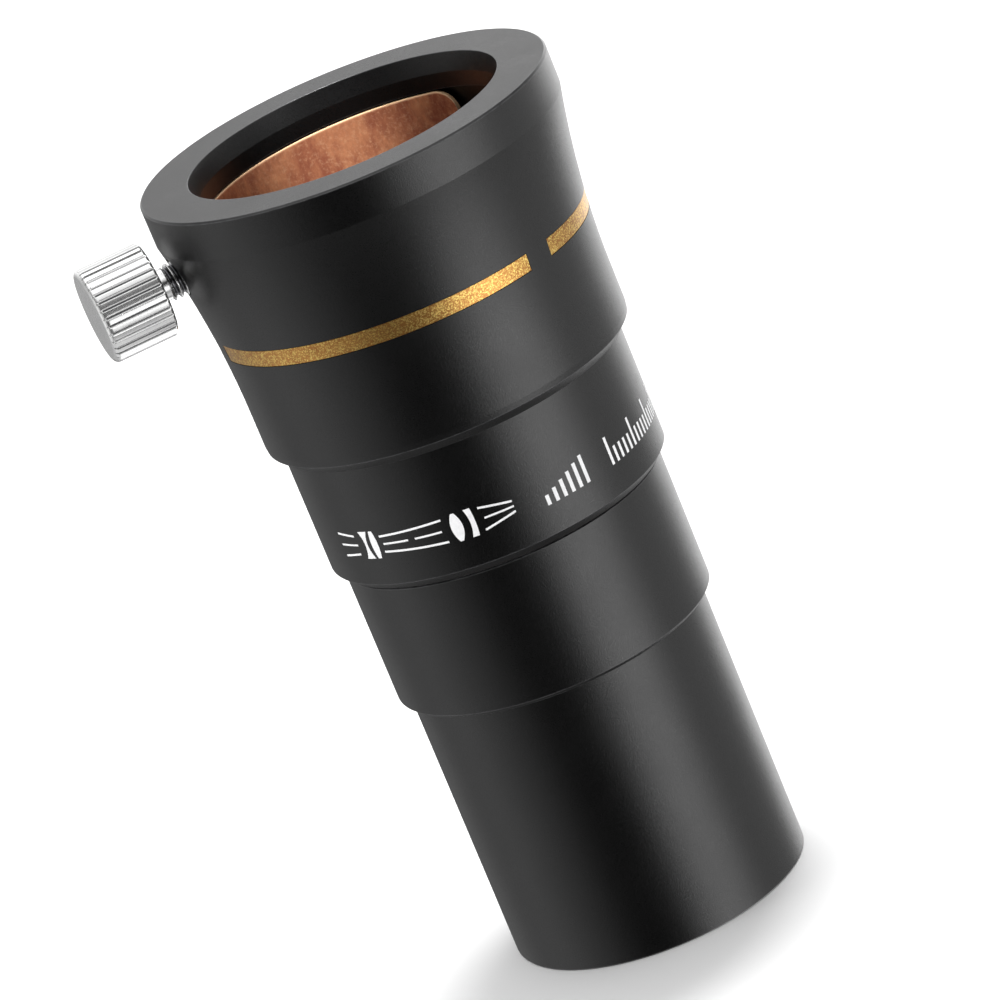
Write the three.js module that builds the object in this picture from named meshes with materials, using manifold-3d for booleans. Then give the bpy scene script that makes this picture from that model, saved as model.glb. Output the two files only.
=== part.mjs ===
// Four-element 1.25-inch Barlow lens with a compression-ring eyepiece holder.
//
// Frame: the origin is on the optical axis in the plane of the nosepiece's open end, +Z runs
// along the axis to the eyepiece, and the thumbscrew points along -X. All sizes are millimetres.

import * as THREE from 'three';
import { mergeVertices } from 'three/addons/utils/BufferGeometryUtils.js';
import Module from 'manifold-3d';

const wasm = await Module();
wasm.setup();

// ---------------------------------------------------------------- driving dimensions

// Stepped outside, from the nosepiece end to the eyepiece end.
const NOSE_RADIUS = 15.85;            // 1.25-inch barrel, 31.7 mm
const NOSE_SHOULDER_Z = 30.14;
const BODY_RADIUS = 17.0;             // thicker stretch of the nosepiece
const BODY_SHOULDER_CHAMFER = 0.4;
const BODY_TOP_Z = 45.12;
const PRINT_RADIUS = 18.05;           // lower stretch of the eyepiece holder
const HOLDER_BASE_Z = 45.27;
const HOLDER_BASE_CHAMFER = 0.85;
const FLARE_EDGE_Z = 60.0;            // lower edge of the flare, above its chamfer
const FLARE_CHAMFER = 1.03;
const FLARE_EASE_Z = 60.65;           // the wall draws in slightly below this height
const FLARE_EASE = 0.08;
const FLARE_RADIUS = 19.45;
const FLARE_START_Z = 64.35;          // the wall is cylindrical below this height
const FLARE_ARC_RADIUS = 93.4;        // concave sweep of the flare
const FLARE_FACET_Z = [68, 77, 80.5]; // extra heights that keep the sweep smooth
const FLANGE_Z = 84.0;                // lower edge of the cylindrical flange
const FLANGE_RADIUS = 21.55;
const TOTAL_LENGTH = 88.1;

// Inside of the eyepiece holder.
const SOCKET_RADIUS = 15.95;          // takes a 31.7 mm eyepiece barrel
const MOUTH_TAPER = 0.45;             // lead-in at the mouth, and how deep it runs
const MOUTH_DEPTH = 2.0;
const SOCKET_LAND_Z = 76.3;           // the socket is relieved below this height
const RELIEF_RADIUS = 16.35;
const STOP_TOP_Z = 58.6;              // ledge that stops the eyepiece barrel
const STOP_BOTTOM_Z = 57.1;
const STOP_RADIUS = 14.9;
const JOINT_RADIUS = 15.75;           // female thread that takes the nosepiece, at its crests

// Compression ring and the groove it lies in.
const RING_TOP_Z = 84.2;
const RING_HEIGHT = 5.2;
const RING_INNER_RADIUS = 15.9;
const RING_THICKNESS = 0.5;
const RING_HALF_GAP_DEG = 34;         // the ring is open opposite the thumbscrew
const GROOVE_RADIUS = 16.95;
const GROOVE_END_CLEARANCE = 0.2;

// Thumbscrew, measured along its own axis outward from the optical axis.
const SCREW_Z = 81.0;
const TIP_START = 16.9;
const TIP_RADIUS = 1.4;
const THREAD_START = 17.5;
const THREAD_RADIUS = 1.9;            // M4 x 0.7
const NECK_START = 22.0;
const NECK_RADIUS = 1.66;
const NECK_END = 27.3;
const SCREW_HOLE_RADIUS = 2.02;
const HEAD_START = 23.35;
const HEAD_END = 30.25;
const HEAD_RADIUS = 5.0;
const HEAD_BORE_RADIUS = 1.8;
const FLUTES = 36;
const FLUTE_DEPTH = 0.28;

// Three gold arcs in a shallow recess round the flare.
const BAND_LOW_Z = 71.42;
const BAND_HIGH_Z = 73.28;
const BAND_DEPTH = 0.3;
const BAND_GAP_DEG = 9;
const BAND_CLEARANCE = 0.05;

// Inside of the nosepiece.
const FILTER_THREAD_RADIUS = 14.2;    // M28.5 x 0.6
const FILTER_THREAD_END_Z = 4.6;
const FILTER_RELIEF_RADIUS = 14.6;
const FRONT_FACE_Z = 5.8;             // visible black face round the front lens
const NOSE_BORE_RADIUS = 13.4;
const NOSE_SEAT_Z = 9.4;              // ledge under the front cell's rim
const TENON_RADIUS = 15.6;
const TENON_TOP_Z = 56.9;
const NECK_GROOVE_RADIUS = 16.3;

// Two ring-shaped light stops between the lens groups: height of the middle and hole radius.
const STOP_THICKNESS = 1.0;
const LIGHT_STOPS = { light_stop_front: [22, 6.6], light_stop_rear: [34, 8.4] };

// Front lens cell. A surface is [height of its vertex, curvature radius].
const FRONT_LENS_RADIUS = 6.1;
const FRONT_CLEAR_RADIUS = 5.0;
const FRONT_APERTURE_RADIUS = 4.4;
const FRONT_SEAT_Z = 7.0;
const FRONT_HUB_RADIUS = 8.2;
const FRONT_HUB_TOP_Z = 13.2;
const FRONT_OUTER_SURFACE = [6.55, 20];
const FRONT_CEMENT_SURFACE = [7.6, 9.5];
const FRONT_INNER_SURFACE = [9.6, 26];
const FRONT_RING_HEIGHT = 1.8;
const SPANNER_HOLE_RADIUS = 1.0;
const SPANNER_HOLE_CIRCLE = 10.7;
const SPANNER_HOLE_DEPTH = 2.2;

// Rear lens cell.
const REAR_LENS_RADIUS = 10.4;
const REAR_CLEAR_RADIUS = 9.3;
const REAR_CELL_BASE_Z = 46.4;
const REAR_CELL_TOP_Z = 55.9;
const REAR_SEAT_Z = 47.6;
const REAR_SEAT_RADIUS = 9.2;
const REAR_LOW_SURFACE = [47.1, 42];
const REAR_CEMENT_SURFACE = [51.9, -24];
const REAR_TOP_SURFACE = [53.3, -60];
const REAR_RIM_Z = 48.15;             // where the lower lens's straight rim starts

const CEMENT_GAP = 0.03;
const FIT = 0.08;                     // radial gap between turned parts that fit together

const TUBE_SIDES = 48;
const CELL_SIDES = 36;

// ---------------------------------------------------------------- materials

function finish(color, roughness, metalness) {
  return new THREE.MeshStandardMaterial({ color, roughness, metalness });
}

const blackAnodised = finish(0x2b2b2d, 0.48, 0.4);
const cellBlack = finish(0x242425, 0.75, 0.2);
const goldEnamel = finish(0xb8862f, 0.38, 0.7);
const bronze = finish(0xa5683f, 0.36, 0.9);
const brightMetal = finish(0xe2e3e5, 0.2, 1.0);
const steel = finish(0x77797c, 0.35, 1.0);
const coatedGlass = finish(0x2f7f8c, 0.05, 0.0);

// ---------------------------------------------------------------- geometry helpers

// A piece turned on a lathe: outline is a closed loop of [radius, height] points that runs
// up the outside and down the inside. A solid piece starts and ends on the axis.
function turned(outline, sides) {
  const loop = [...outline, outline[0]].map(([radius, height]) => new THREE.Vector2(radius, height));
  return new THREE.LatheGeometry(loop, sides).rotateX(Math.PI / 2);
}

// A lens between two spherical surfaces: each is a function of radius that gives its height.
function lens(radius, clearRadius, lowFace, highFace, rimLow, rimHigh) {
  const steps = 5;
  const low = [];
  const high = [];
  for (let step = 0; step <= steps; step += 1) {
    const r = (clearRadius * step) / steps;
    low.push([r, lowFace(r)]);
    high.unshift([r, highFace(r)]);
  }
  const rim = [[radius, rimLow], [radius, rimHigh]];
  const loop = [...low, ...rim, ...high].map(([r, height]) => new THREE.Vector2(r, height));
  return new THREE.LatheGeometry(loop, CELL_SIDES).rotateX(Math.PI / 2);
}

// Height of a spherical lens surface as a function of radius, raised by lift. A positive
// curvature radius bends the rim towards +Z, a negative one towards -Z.
function sphere([vertexZ, curvature], lift = 0) {
  const sign = Math.sign(curvature);
  const centre = vertexZ + lift + curvature;
  return (r) => centre - sign * Math.sqrt(curvature * curvature - r * r);
}

// A closed solid swept part of the way round the Z axis: outline is a loop of [radius, height]
// points that runs up the outside and down the inside.
function sweptArc(outline, startDeg, endDeg, stepDeg) {
  const steps = Math.ceil((endDeg - startDeg) / stepDeg);
  const count = outline.length;
  const positions = [];
  const faces = [];
  for (let step = 0; step <= steps; step += 1) {
    const angle = THREE.MathUtils.degToRad(startDeg + ((endDeg - startDeg) * step) / steps);
    for (const [radius, height] of outline) {
      positions.push(radius * Math.cos(angle), radius * Math.sin(angle), height);
    }
  }
  for (let step = 0; step < steps; step += 1) {
    for (let point = 0; point < count; point += 1) {
      const a = step * count + point;
      const b = step * count + ((point + 1) % count);
      faces.push(a, a + count, b, b, a + count, b + count);
    }
  }
  const contour = outline.map(([radius, height]) => new THREE.Vector2(radius, height));
  for (const [a, b, c] of THREE.ShapeUtils.triangulateShape(contour, [])) {
    faces.push(a, b, c, a + steps * count, c + steps * count, b + steps * count);
  }
  const geometry = new THREE.BufferGeometry();
  geometry.setAttribute('position', new THREE.Float32BufferAttribute(positions, 3));
  geometry.setIndex(faces);
  return geometry;
}

function toSolid(geometry) {
  const plain = geometry.clone();
  plain.deleteAttribute('normal');
  plain.deleteAttribute('uv');
  const merged = mergeVertices(plain);
  return new wasm.Manifold(new wasm.Mesh({
    numProp: 3,
    vertProperties: new Float32Array(merged.attributes.position.array),
    triVerts: new Uint32Array(merged.index.array),
  }));
}

function toGeometry(solid) {
  const { vertProperties, triVerts } = solid.getMesh();
  const geometry = new THREE.BufferGeometry();
  geometry.setAttribute('position', new THREE.BufferAttribute(vertProperties, 3));
  geometry.setIndex(new THREE.BufferAttribute(triVerts, 1));
  geometry.computeVertexNormals();
  return geometry;
}

function cut(blank, cutters) {
  let solid = toSolid(blank);
  for (const cutter of cutters) solid = solid.subtract(toSolid(cutter));
  return toGeometry(solid);
}

function piece(name, geometry, material) {
  const mesh = new THREE.Mesh(geometry, material);
  mesh.name = name;
  return mesh;
}

// ---------------------------------------------------------------- eyepiece holder

// Outside radius of the flare at a height: cylindrical at first, then a concave sweep.
function flareRadius(z) {
  const rise = Math.max(0, z - FLARE_START_Z);
  return FLARE_RADIUS + FLARE_ARC_RADIUS - Math.sqrt(FLARE_ARC_RADIUS ** 2 - rise * rise);
}

function flareOutline() {
  const heights = [FLARE_START_Z, ...FLARE_FACET_Z, BAND_LOW_Z, BAND_HIGH_Z, FLANGE_Z];
  heights.sort((a, b) => a - b);
  return heights.map((z) => [flareRadius(z), z]);
}

function eyepieceHolderBlank() {
  const faceEdge = 0.2;
  const reliefSlope = 0.4;
  const grooveTop = RING_TOP_Z + GROOVE_END_CLEARANCE;
  const grooveBottom = RING_TOP_Z - RING_HEIGHT - GROOVE_END_CLEARANCE;
  const flareEdge = FLARE_RADIUS - FLARE_EASE;
  return turned([
    [PRINT_RADIUS - HOLDER_BASE_CHAMFER, HOLDER_BASE_Z],
    [PRINT_RADIUS, HOLDER_BASE_Z + HOLDER_BASE_CHAMFER],
    [PRINT_RADIUS, FLARE_EDGE_Z - FLARE_CHAMFER],
    [flareEdge - FLARE_CHAMFER, FLARE_EDGE_Z - FLARE_CHAMFER],
    [flareEdge, FLARE_EDGE_Z],
    [FLARE_RADIUS, FLARE_EASE_Z],
    ...flareOutline(),
    [FLANGE_RADIUS, TOTAL_LENGTH - faceEdge],
    [FLANGE_RADIUS - faceEdge, TOTAL_LENGTH],
    [SOCKET_RADIUS + MOUTH_TAPER, TOTAL_LENGTH],
    [SOCKET_RADIUS, TOTAL_LENGTH - MOUTH_DEPTH],
    [SOCKET_RADIUS, grooveTop],
    [GROOVE_RADIUS, grooveTop],
    [GROOVE_RADIUS, grooveBottom],
    [SOCKET_RADIUS, grooveBottom],
    [SOCKET_RADIUS, SOCKET_LAND_Z],
    [RELIEF_RADIUS, SOCKET_LAND_Z - reliefSlope],
    [RELIEF_RADIUS, STOP_TOP_Z],
    [STOP_RADIUS, STOP_TOP_Z],
    [STOP_RADIUS, STOP_BOTTOM_Z],
    [JOINT_RADIUS, STOP_BOTTOM_Z],
    [JOINT_RADIUS, HOLDER_BASE_Z],
  ], TUBE_SIDES);
}

function screwHole() {
  const overshoot = 1.5;
  const inner = GROOVE_RADIUS - overshoot;
  const outer = FLANGE_RADIUS + overshoot;
  const hole = new THREE.CylinderGeometry(SCREW_HOLE_RADIUS, SCREW_HOLE_RADIUS, outer - inner, 24);
  return hole.rotateZ(Math.PI / 2).translate(-(inner + outer) / 2, 0, SCREW_Z);
}

// The three arcs leave gaps of the same width, one of them over the thumbscrew.
function bandArcs() {
  const spans = [];
  for (let turn = 0; turn < 3; turn += 1) {
    const centre = turn * 120;
    spans.push([centre - 60 + BAND_GAP_DEG / 2, centre + 60 - BAND_GAP_DEG / 2]);
  }
  return spans;
}

function bandPocket([startDeg, endDeg]) {
  const floor = flareRadius(BAND_LOW_Z) - BAND_DEPTH;
  const beyond = FLANGE_RADIUS;
  const outline = [
    [floor, BAND_LOW_Z], [beyond, BAND_LOW_Z], [beyond, BAND_HIGH_Z], [floor, BAND_HIGH_Z],
  ];
  return sweptArc(outline, startDeg, endDeg, 7.5);
}

function bandInlay([startDeg, endDeg]) {
  const low = BAND_LOW_Z + BAND_CLEARANCE;
  const high = BAND_HIGH_Z - BAND_CLEARANCE;
  const floor = flareRadius(BAND_LOW_Z) - BAND_DEPTH + BAND_CLEARANCE;
  const endInset = THREE.MathUtils.radToDeg(BAND_CLEARANCE / FLARE_RADIUS);
  const outline = [[floor, low], [flareRadius(low), low], [flareRadius(high), high], [floor, high]];
  return sweptArc(outline, startDeg + endInset, endDeg - endInset, 7.5);
}

function buildHolder(group) {
  const arcs = bandArcs();
  const holder = cut(eyepieceHolderBlank(), [screwHole(), ...arcs.map(bandPocket)]);
  group.add(piece('eyepiece_holder', holder, blackAnodised));
  arcs.forEach((arc, number) => {
    group.add(piece(`gold_band_arc_${number + 1}`, bandInlay(arc), goldEnamel));
  });
}

function buildCompressionRing(group) {
  const low = RING_TOP_Z - RING_HEIGHT;
  const outer = RING_INNER_RADIUS + RING_THICKNESS;
  const outline = [
    [RING_INNER_RADIUS, low], [outer, low], [outer, RING_TOP_Z], [RING_INNER_RADIUS, RING_TOP_Z],
  ];
  const ring = sweptArc(outline, RING_HALF_GAP_DEG, 360 - RING_HALF_GAP_DEG, 7.5);
  group.add(piece('compression_ring', ring, bronze));
}

// ---------------------------------------------------------------- thumbscrew

// Straight-knurled outline: flat ridges with V-shaped grooves between them.
function flutedPrism() {
  const shape = new THREE.Shape();
  const pitch = (2 * Math.PI) / FLUTES;
  const ridgeShare = 0.55;
  const valleyShare = (1 + ridgeShare) / 2;
  const corners = [
    [0, HEAD_RADIUS], [ridgeShare, HEAD_RADIUS], [valleyShare, HEAD_RADIUS - FLUTE_DEPTH],
  ];
  for (let flute = 0; flute < FLUTES; flute += 1) {
    for (const [share, radius] of corners) {
      const angle = (flute + share) * pitch;
      const point = [radius * Math.cos(angle), radius * Math.sin(angle)];
      if (flute === 0 && share === 0) shape.moveTo(...point);
      else shape.lineTo(...point);
    }
  }
  shape.closePath();
  return new THREE.ExtrudeGeometry(shape, { depth: HEAD_END - HEAD_START, bevelEnabled: false })
    .translate(0, 0, HEAD_START);
}

// The blank gives the head its chamfered ends and the blind bore that holds the shank.
function headBlank() {
  const boreEnd = NECK_END + 0.4;
  const beyond = 0.1;
  const innerChamfer = 0.25;
  const outerChamfer = 0.6;
  return turned([
    [0, boreEnd],
    [HEAD_BORE_RADIUS, boreEnd],
    [HEAD_BORE_RADIUS, HEAD_START],
    [HEAD_RADIUS - innerChamfer, HEAD_START],
    [HEAD_RADIUS + beyond, HEAD_START + innerChamfer + beyond],
    [HEAD_RADIUS + beyond, HEAD_END - outerChamfer - beyond],
    [HEAD_RADIUS - outerChamfer, HEAD_END],
    [0, HEAD_END],
  ], FLUTES);
}

function threadedShank() {
  const threadLeadIn = 0.4;
  const threadRunOut = 0.15;
  return turned([
    [0, TIP_START],
    [TIP_RADIUS, TIP_START],
    [TIP_RADIUS, THREAD_START],
    [THREAD_RADIUS, THREAD_START + threadLeadIn],
    [THREAD_RADIUS, NECK_START],
    [NECK_RADIUS, NECK_START + threadRunOut],
    [NECK_RADIUS, NECK_END],
    [0, NECK_END],
  ], 24);
}

function buildThumbscrew(group) {
  const screw = new THREE.Group();
  screw.position.set(0, 0, SCREW_Z);
  screw.rotation.y = -Math.PI / 2;
  const head = toGeometry(toSolid(flutedPrism()).intersect(toSolid(headBlank())));
  screw.add(piece('thumbscrew_shank', threadedShank(), steel));
  screw.add(piece('thumbscrew_head', head, brightMetal));
  group.add(screw);
}

// ---------------------------------------------------------------- nosepiece

function buildNosepiece(group) {
  const endChamfer = 0.12;
  const edgeChamfer = 0.12;
  const mouthChamfer = 0.3;
  const tenonBase = HOLDER_BASE_Z - 0.05;
  const outline = [
    [NOSE_RADIUS - endChamfer, 0],
    [NOSE_RADIUS, endChamfer],
    [NOSE_RADIUS, NOSE_SHOULDER_Z],
    [BODY_RADIUS - BODY_SHOULDER_CHAMFER, NOSE_SHOULDER_Z],
    [BODY_RADIUS, NOSE_SHOULDER_Z + BODY_SHOULDER_CHAMFER],
    [BODY_RADIUS, BODY_TOP_Z - edgeChamfer],
    [BODY_RADIUS - edgeChamfer, BODY_TOP_Z],
    [NECK_GROOVE_RADIUS, BODY_TOP_Z],
    [NECK_GROOVE_RADIUS, tenonBase],
    [TENON_RADIUS, tenonBase],
    [TENON_RADIUS, TENON_TOP_Z],
    [NOSE_BORE_RADIUS, TENON_TOP_Z],
    [NOSE_BORE_RADIUS, NOSE_SEAT_Z],
    [FILTER_THREAD_RADIUS, NOSE_SEAT_Z],
    [FILTER_THREAD_RADIUS, FRONT_FACE_Z],
    [FILTER_RELIEF_RADIUS, FRONT_FACE_Z],
    [FILTER_RELIEF_RADIUS, FILTER_THREAD_END_Z],
    [FILTER_THREAD_RADIUS, FILTER_THREAD_END_Z],
    [FILTER_THREAD_RADIUS, mouthChamfer],
    [FILTER_THREAD_RADIUS + mouthChamfer, 0],
  ];
  group.add(piece('nosepiece', turned(outline, TUBE_SIDES), blackAnodised));
}

// A flat ring with its hole bevelled to a blunt edge.
function lightStop([z, aperture]) {
  const outer = NOSE_BORE_RADIUS - FIT;
  const bevel = 0.8;
  const low = z - STOP_THICKNESS / 2;
  const high = z + STOP_THICKNESS / 2;
  return turned([
    [aperture, z], [aperture + bevel, low], [outer, low], [outer, high], [aperture + bevel, high],
  ], CELL_SIDES);
}

function buildLightStops(group) {
  for (const [name, stop] of Object.entries(LIGHT_STOPS)) {
    group.add(piece(name, lightStop(stop), cellBlack));
  }
}

// ---------------------------------------------------------------- front lens group

function frontCell() {
  const rim = FILTER_THREAD_RADIUS - FIT * 1.5;
  const pocket = FRONT_LENS_RADIUS + FIT;
  const rimTop = NOSE_SEAT_Z - 0.1;
  const apertureBevel = 0.5;
  const blank = turned([
    [FRONT_APERTURE_RADIUS + apertureBevel, FRONT_FACE_Z],
    [rim, FRONT_FACE_Z],
    [rim, rimTop],
    [FRONT_HUB_RADIUS, rimTop],
    [FRONT_HUB_RADIUS, FRONT_HUB_TOP_Z],
    [pocket, FRONT_HUB_TOP_Z],
    [pocket, FRONT_SEAT_Z],
    [FRONT_APERTURE_RADIUS, FRONT_SEAT_Z],
    [FRONT_APERTURE_RADIUS, FRONT_FACE_Z + apertureBevel],
  ], CELL_SIDES);
  const span = 2 * SPANNER_HOLE_DEPTH;
  const hole = new THREE.CylinderGeometry(SPANNER_HOLE_RADIUS, SPANNER_HOLE_RADIUS, span, 20)
    .rotateX(Math.PI / 2)
    .translate(0, -SPANNER_HOLE_CIRCLE, FRONT_FACE_Z);
  return cut(blank, [hole]);
}

// A threaded ring that holds a lens pair down, with a bevelled hole.
function retainingRing(inner, outer, low, high, bevel) {
  return turned([
    [inner, low], [outer, low], [outer, high], [inner + bevel, high], [inner, high - 1.2 * bevel],
  ], CELL_SIDES);
}

// Negative meniscus towards the sky, cemented to a weak positive meniscus behind it.
function buildFrontGroup(group) {
  const clear = FRONT_CLEAR_RADIUS;
  const cementFace = sphere(FRONT_CEMENT_SURFACE);
  const cementedFace = sphere(FRONT_CEMENT_SURFACE, CEMENT_GAP);
  const innerFace = sphere(FRONT_INNER_SURFACE);
  const seam = cementFace(clear);
  const seat = FRONT_SEAT_Z + 0.2;
  const outer = lens(FRONT_LENS_RADIUS, clear, sphere(FRONT_OUTER_SURFACE), cementFace, seat, seam);
  const inner = lens(
    FRONT_LENS_RADIUS, clear, cementedFace, innerFace, seam + CEMENT_GAP, innerFace(clear),
  );
  const ringLow = innerFace(clear) + 0.05;
  const ring = retainingRing(clear, FRONT_LENS_RADIUS, ringLow, ringLow + FRONT_RING_HEIGHT, 0.45);
  group.add(piece('front_cell', frontCell(), cellBlack));
  group.add(piece('front_lens_outer', outer, coatedGlass));
  group.add(piece('front_lens_inner', inner, coatedGlass));
  group.add(piece('front_retaining_ring', ring, cellBlack));
}

// ---------------------------------------------------------------- rear lens group

function rearCell() {
  const outer = NOSE_BORE_RADIUS - FIT;
  const pocket = REAR_LENS_RADIUS + FIT;
  return turned([
    [REAR_SEAT_RADIUS, REAR_CELL_BASE_Z],
    [outer, REAR_CELL_BASE_Z],
    [outer, REAR_CELL_TOP_Z],
    [pocket, REAR_CELL_TOP_Z],
    [pocket, REAR_SEAT_Z],
    [REAR_SEAT_RADIUS, REAR_SEAT_Z],
  ], CELL_SIDES);
}

// Biconvex crown cemented to a flint meniscus.
function buildRearGroup(group) {
  const clear = REAR_CLEAR_RADIUS;
  const cementFace = sphere(REAR_CEMENT_SURFACE);
  const cementedFace = sphere(REAR_CEMENT_SURFACE, CEMENT_GAP);
  const topFace = sphere(REAR_TOP_SURFACE);
  const seam = cementFace(clear);
  const lower = lens(
    REAR_LENS_RADIUS, clear, sphere(REAR_LOW_SURFACE), cementFace, REAR_RIM_Z, seam,
  );
  const upper = lens(
    REAR_LENS_RADIUS, clear, cementedFace, topFace, seam + CEMENT_GAP, topFace(clear),
  );
  const ringLow = topFace(clear) + 0.05;
  const ringHigh = REAR_CELL_TOP_Z - 0.6;
  const ring = retainingRing(clear, REAR_LENS_RADIUS, ringLow, ringHigh, 0.5);
  group.add(piece('rear_cell', rearCell(), cellBlack));
  group.add(piece('rear_lens_lower', lower, coatedGlass));
  group.add(piece('rear_lens_upper', upper, coatedGlass));
  group.add(piece('rear_retaining_ring', ring, cellBlack));
}

// ---------------------------------------------------------------- assembly

const barlowLens = new THREE.Group();
buildHolder(barlowLens);
buildCompressionRing(barlowLens);
buildThumbscrew(barlowLens);
buildNosepiece(barlowLens);
buildFrontGroup(barlowLens);
buildLightStops(barlowLens);
buildRearGroup(barlowLens);

export default barlowLens;
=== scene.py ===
import math

import bmesh
import bpy
from mathutils import Matrix, Vector


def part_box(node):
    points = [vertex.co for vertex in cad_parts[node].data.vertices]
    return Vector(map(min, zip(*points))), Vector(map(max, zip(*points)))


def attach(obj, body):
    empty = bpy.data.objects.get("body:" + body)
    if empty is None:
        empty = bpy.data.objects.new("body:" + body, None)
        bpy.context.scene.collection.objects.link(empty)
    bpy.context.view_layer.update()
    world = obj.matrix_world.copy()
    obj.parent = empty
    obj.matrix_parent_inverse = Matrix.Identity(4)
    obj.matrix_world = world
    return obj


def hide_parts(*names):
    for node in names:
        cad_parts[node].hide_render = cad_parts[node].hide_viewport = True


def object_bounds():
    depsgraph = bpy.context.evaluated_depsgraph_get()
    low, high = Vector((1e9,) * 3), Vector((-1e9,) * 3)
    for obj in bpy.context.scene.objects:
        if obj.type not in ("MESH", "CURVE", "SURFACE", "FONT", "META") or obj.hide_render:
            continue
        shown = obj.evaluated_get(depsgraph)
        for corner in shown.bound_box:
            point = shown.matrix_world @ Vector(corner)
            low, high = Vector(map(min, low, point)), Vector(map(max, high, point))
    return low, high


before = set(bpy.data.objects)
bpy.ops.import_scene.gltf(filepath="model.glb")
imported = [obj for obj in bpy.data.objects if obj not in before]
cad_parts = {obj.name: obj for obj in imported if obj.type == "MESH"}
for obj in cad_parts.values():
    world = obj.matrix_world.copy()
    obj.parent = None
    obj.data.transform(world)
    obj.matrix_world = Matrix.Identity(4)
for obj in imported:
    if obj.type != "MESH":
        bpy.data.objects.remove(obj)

CAD_LOW, CAD_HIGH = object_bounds()

# Lengths below are millimetres and angles are degrees in the row frame, unless a name says
# otherwise. Meshes are scaled to metres when they are made.
MM = 0.001
SIDES = 288                 # columns in a large turned piece
SMALL_SIDES = 192
HOLD = 0.08                 # distance of the support loop beside each rounded edge


def node_top(node):
    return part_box(node)[1].z / MM


def node_base(node):
    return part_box(node)[0].z / MM


# ------------------------------------------------------------------ sizes

TOTAL_LENGTH = node_top("eyepiece_holder")
HOLDER_BASE = node_base("eyepiece_holder")
FLANGE_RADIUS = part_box("eyepiece_holder")[1].y / MM
PRINT_RADIUS = 18.05
BASE_CHAMFER = 0.85
FLARE_EDGE, FLARE_CHAMFER, EASE_Z, EASE = 60.0, 1.03, 60.65, 0.08
FLARE_RADIUS, FLARE_START, FLARE_ARC = 19.45, 64.35, 93.4
FLANGE_Z = 84.0
SOCKET_RADIUS, RELIEF_RADIUS, LAND_Z = 15.95, 16.35, 76.3
MOUTH_TAPER, MOUTH_DEPTH = 0.45, 2.0
GROOVE_RADIUS, GROOVE_LOW, GROOVE_HIGH = 16.95, 78.8, 84.4
LEDGE_RADIUS, LEDGE_LOW, LEDGE_HIGH = 14.9, 57.1, 58.6
JOINT_RADIUS = 15.75

BAND_LOW, BAND_HIGH, BAND_DEPTH, BAND_GAP = 71.42, 73.28, 0.3, 9.0
BAND_ARCS = [(turn * 120 - 60 + BAND_GAP / 2, turn * 120 + 60 - BAND_GAP / 2) for turn in range(3)]

NOSE_RADIUS, NOSE_SHOULDER, SHOULDER_CHAMFER = 15.85, 30.14, 0.4
BODY_RADIUS, BODY_TOP = 17.0, 45.12
NECK_GROOVE_RADIUS, TENON_RADIUS = 16.3, 15.6
TENON_TOP = node_top("nosepiece")
NOSE_BORE, NOSE_SEAT = 13.4, 9.4
FILTER_CREST, FILTER_ROOT, FILTER_PITCH, FILTER_TOP = 14.2, 14.52, 0.6, 4.6
FILTER_RELIEF = 14.6
FRONT_FACE = node_base("front_cell")

SCREW_Z = (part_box("thumbscrew_head")[0].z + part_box("thumbscrew_head")[1].z) / 2 / MM
SCREW_PITCH, SCREW_CREST, SCREW_ROOT = 0.7, 1.9, 1.5
THREAD_START, THREAD_END = 17.3, 22.3
HEAD_OUT = -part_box("thumbscrew_head")[0].x / MM
HEAD_IN = -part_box("thumbscrew_head")[1].x / MM
HEAD_RADIUS, FLUTES, FLUTE_DEPTH = 5.0, 36, 0.28


# ------------------------------------------------------------------ mesh helpers

def rounded(points, steps=4):
    """Closed outline of (radius, z, fillet) corners -> list of (radius, z, wear).

    Each corner with a fillet becomes a small arc with a support point on both sides. Wear is 1
    on outward corners, where handling polishes the finish, and 0 elsewhere.
    """
    winding = sum(a[0] * b[1] - b[0] * a[1] for a, b in zip(points, points[1:] + points[:1]))
    outline = []
    for index, (radius, z, fillet) in enumerate(points):
        corner = Vector((radius, z))
        back = Vector(points[index - 1][:2]) - corner
        ahead = Vector(points[(index + 1) % len(points)][:2]) - corner
        room_back, room_ahead = back.length, ahead.length
        back.normalize()
        ahead.normalize()
        angle = back.angle(ahead)
        if fillet == 0 or angle > math.radians(179.5):
            outline.append((radius, z, 0.0))
            continue
        reach = min(fillet / math.tan(angle / 2), 0.42 * room_back, 0.42 * room_ahead)
        turn = -(back.x * ahead.y - back.y * ahead.x)
        sharp = angle < math.radians(155)
        wear_and_shade = 1.0 if turn * winding > 0 and sharp else 0.0
        start, end = corner + back * reach, corner + ahead * reach
        centre = corner + (back + ahead).normalized() * reach / math.cos(angle / 2)
        if room_back > 2.6 * (reach + HOLD):
            held = start + back * HOLD
            outline.append((held.x, held.y, 0.0))
        sweep = math.copysign(math.pi - angle, turn)
        for step in range(steps + 1):
            arm = (start - centre).copy()
            arm.rotate(Matrix.Rotation(sweep * step / steps, 2))
            point = centre + arm
            outline.append((point.x, point.y, wear_and_shade))
        if room_ahead > 2.6 * (reach + HOLD):
            held = end + ahead * HOLD
            outline.append((held.x, held.y, 0.0))
    return outline


def make(name, points, faces, wear_and_shade=None, place=None, crease=32):
    """A smooth-shaded mesh object from points in millimetres."""
    mesh = bpy.data.meshes.new(name)
    mesh.from_pydata([Vector(p) * MM for p in points], [], faces)
    if wear_and_shade:
        layer = mesh.attributes.new("wear_and_shade", "FLOAT", "POINT")
        layer.data.foreach_set("value", wear_and_shade)
    if place:
        mesh.transform(place)
    obj = bpy.data.objects.new(name, mesh)
    bpy.context.scene.collection.objects.link(obj)
    tidy(obj, crease)
    return obj


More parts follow.
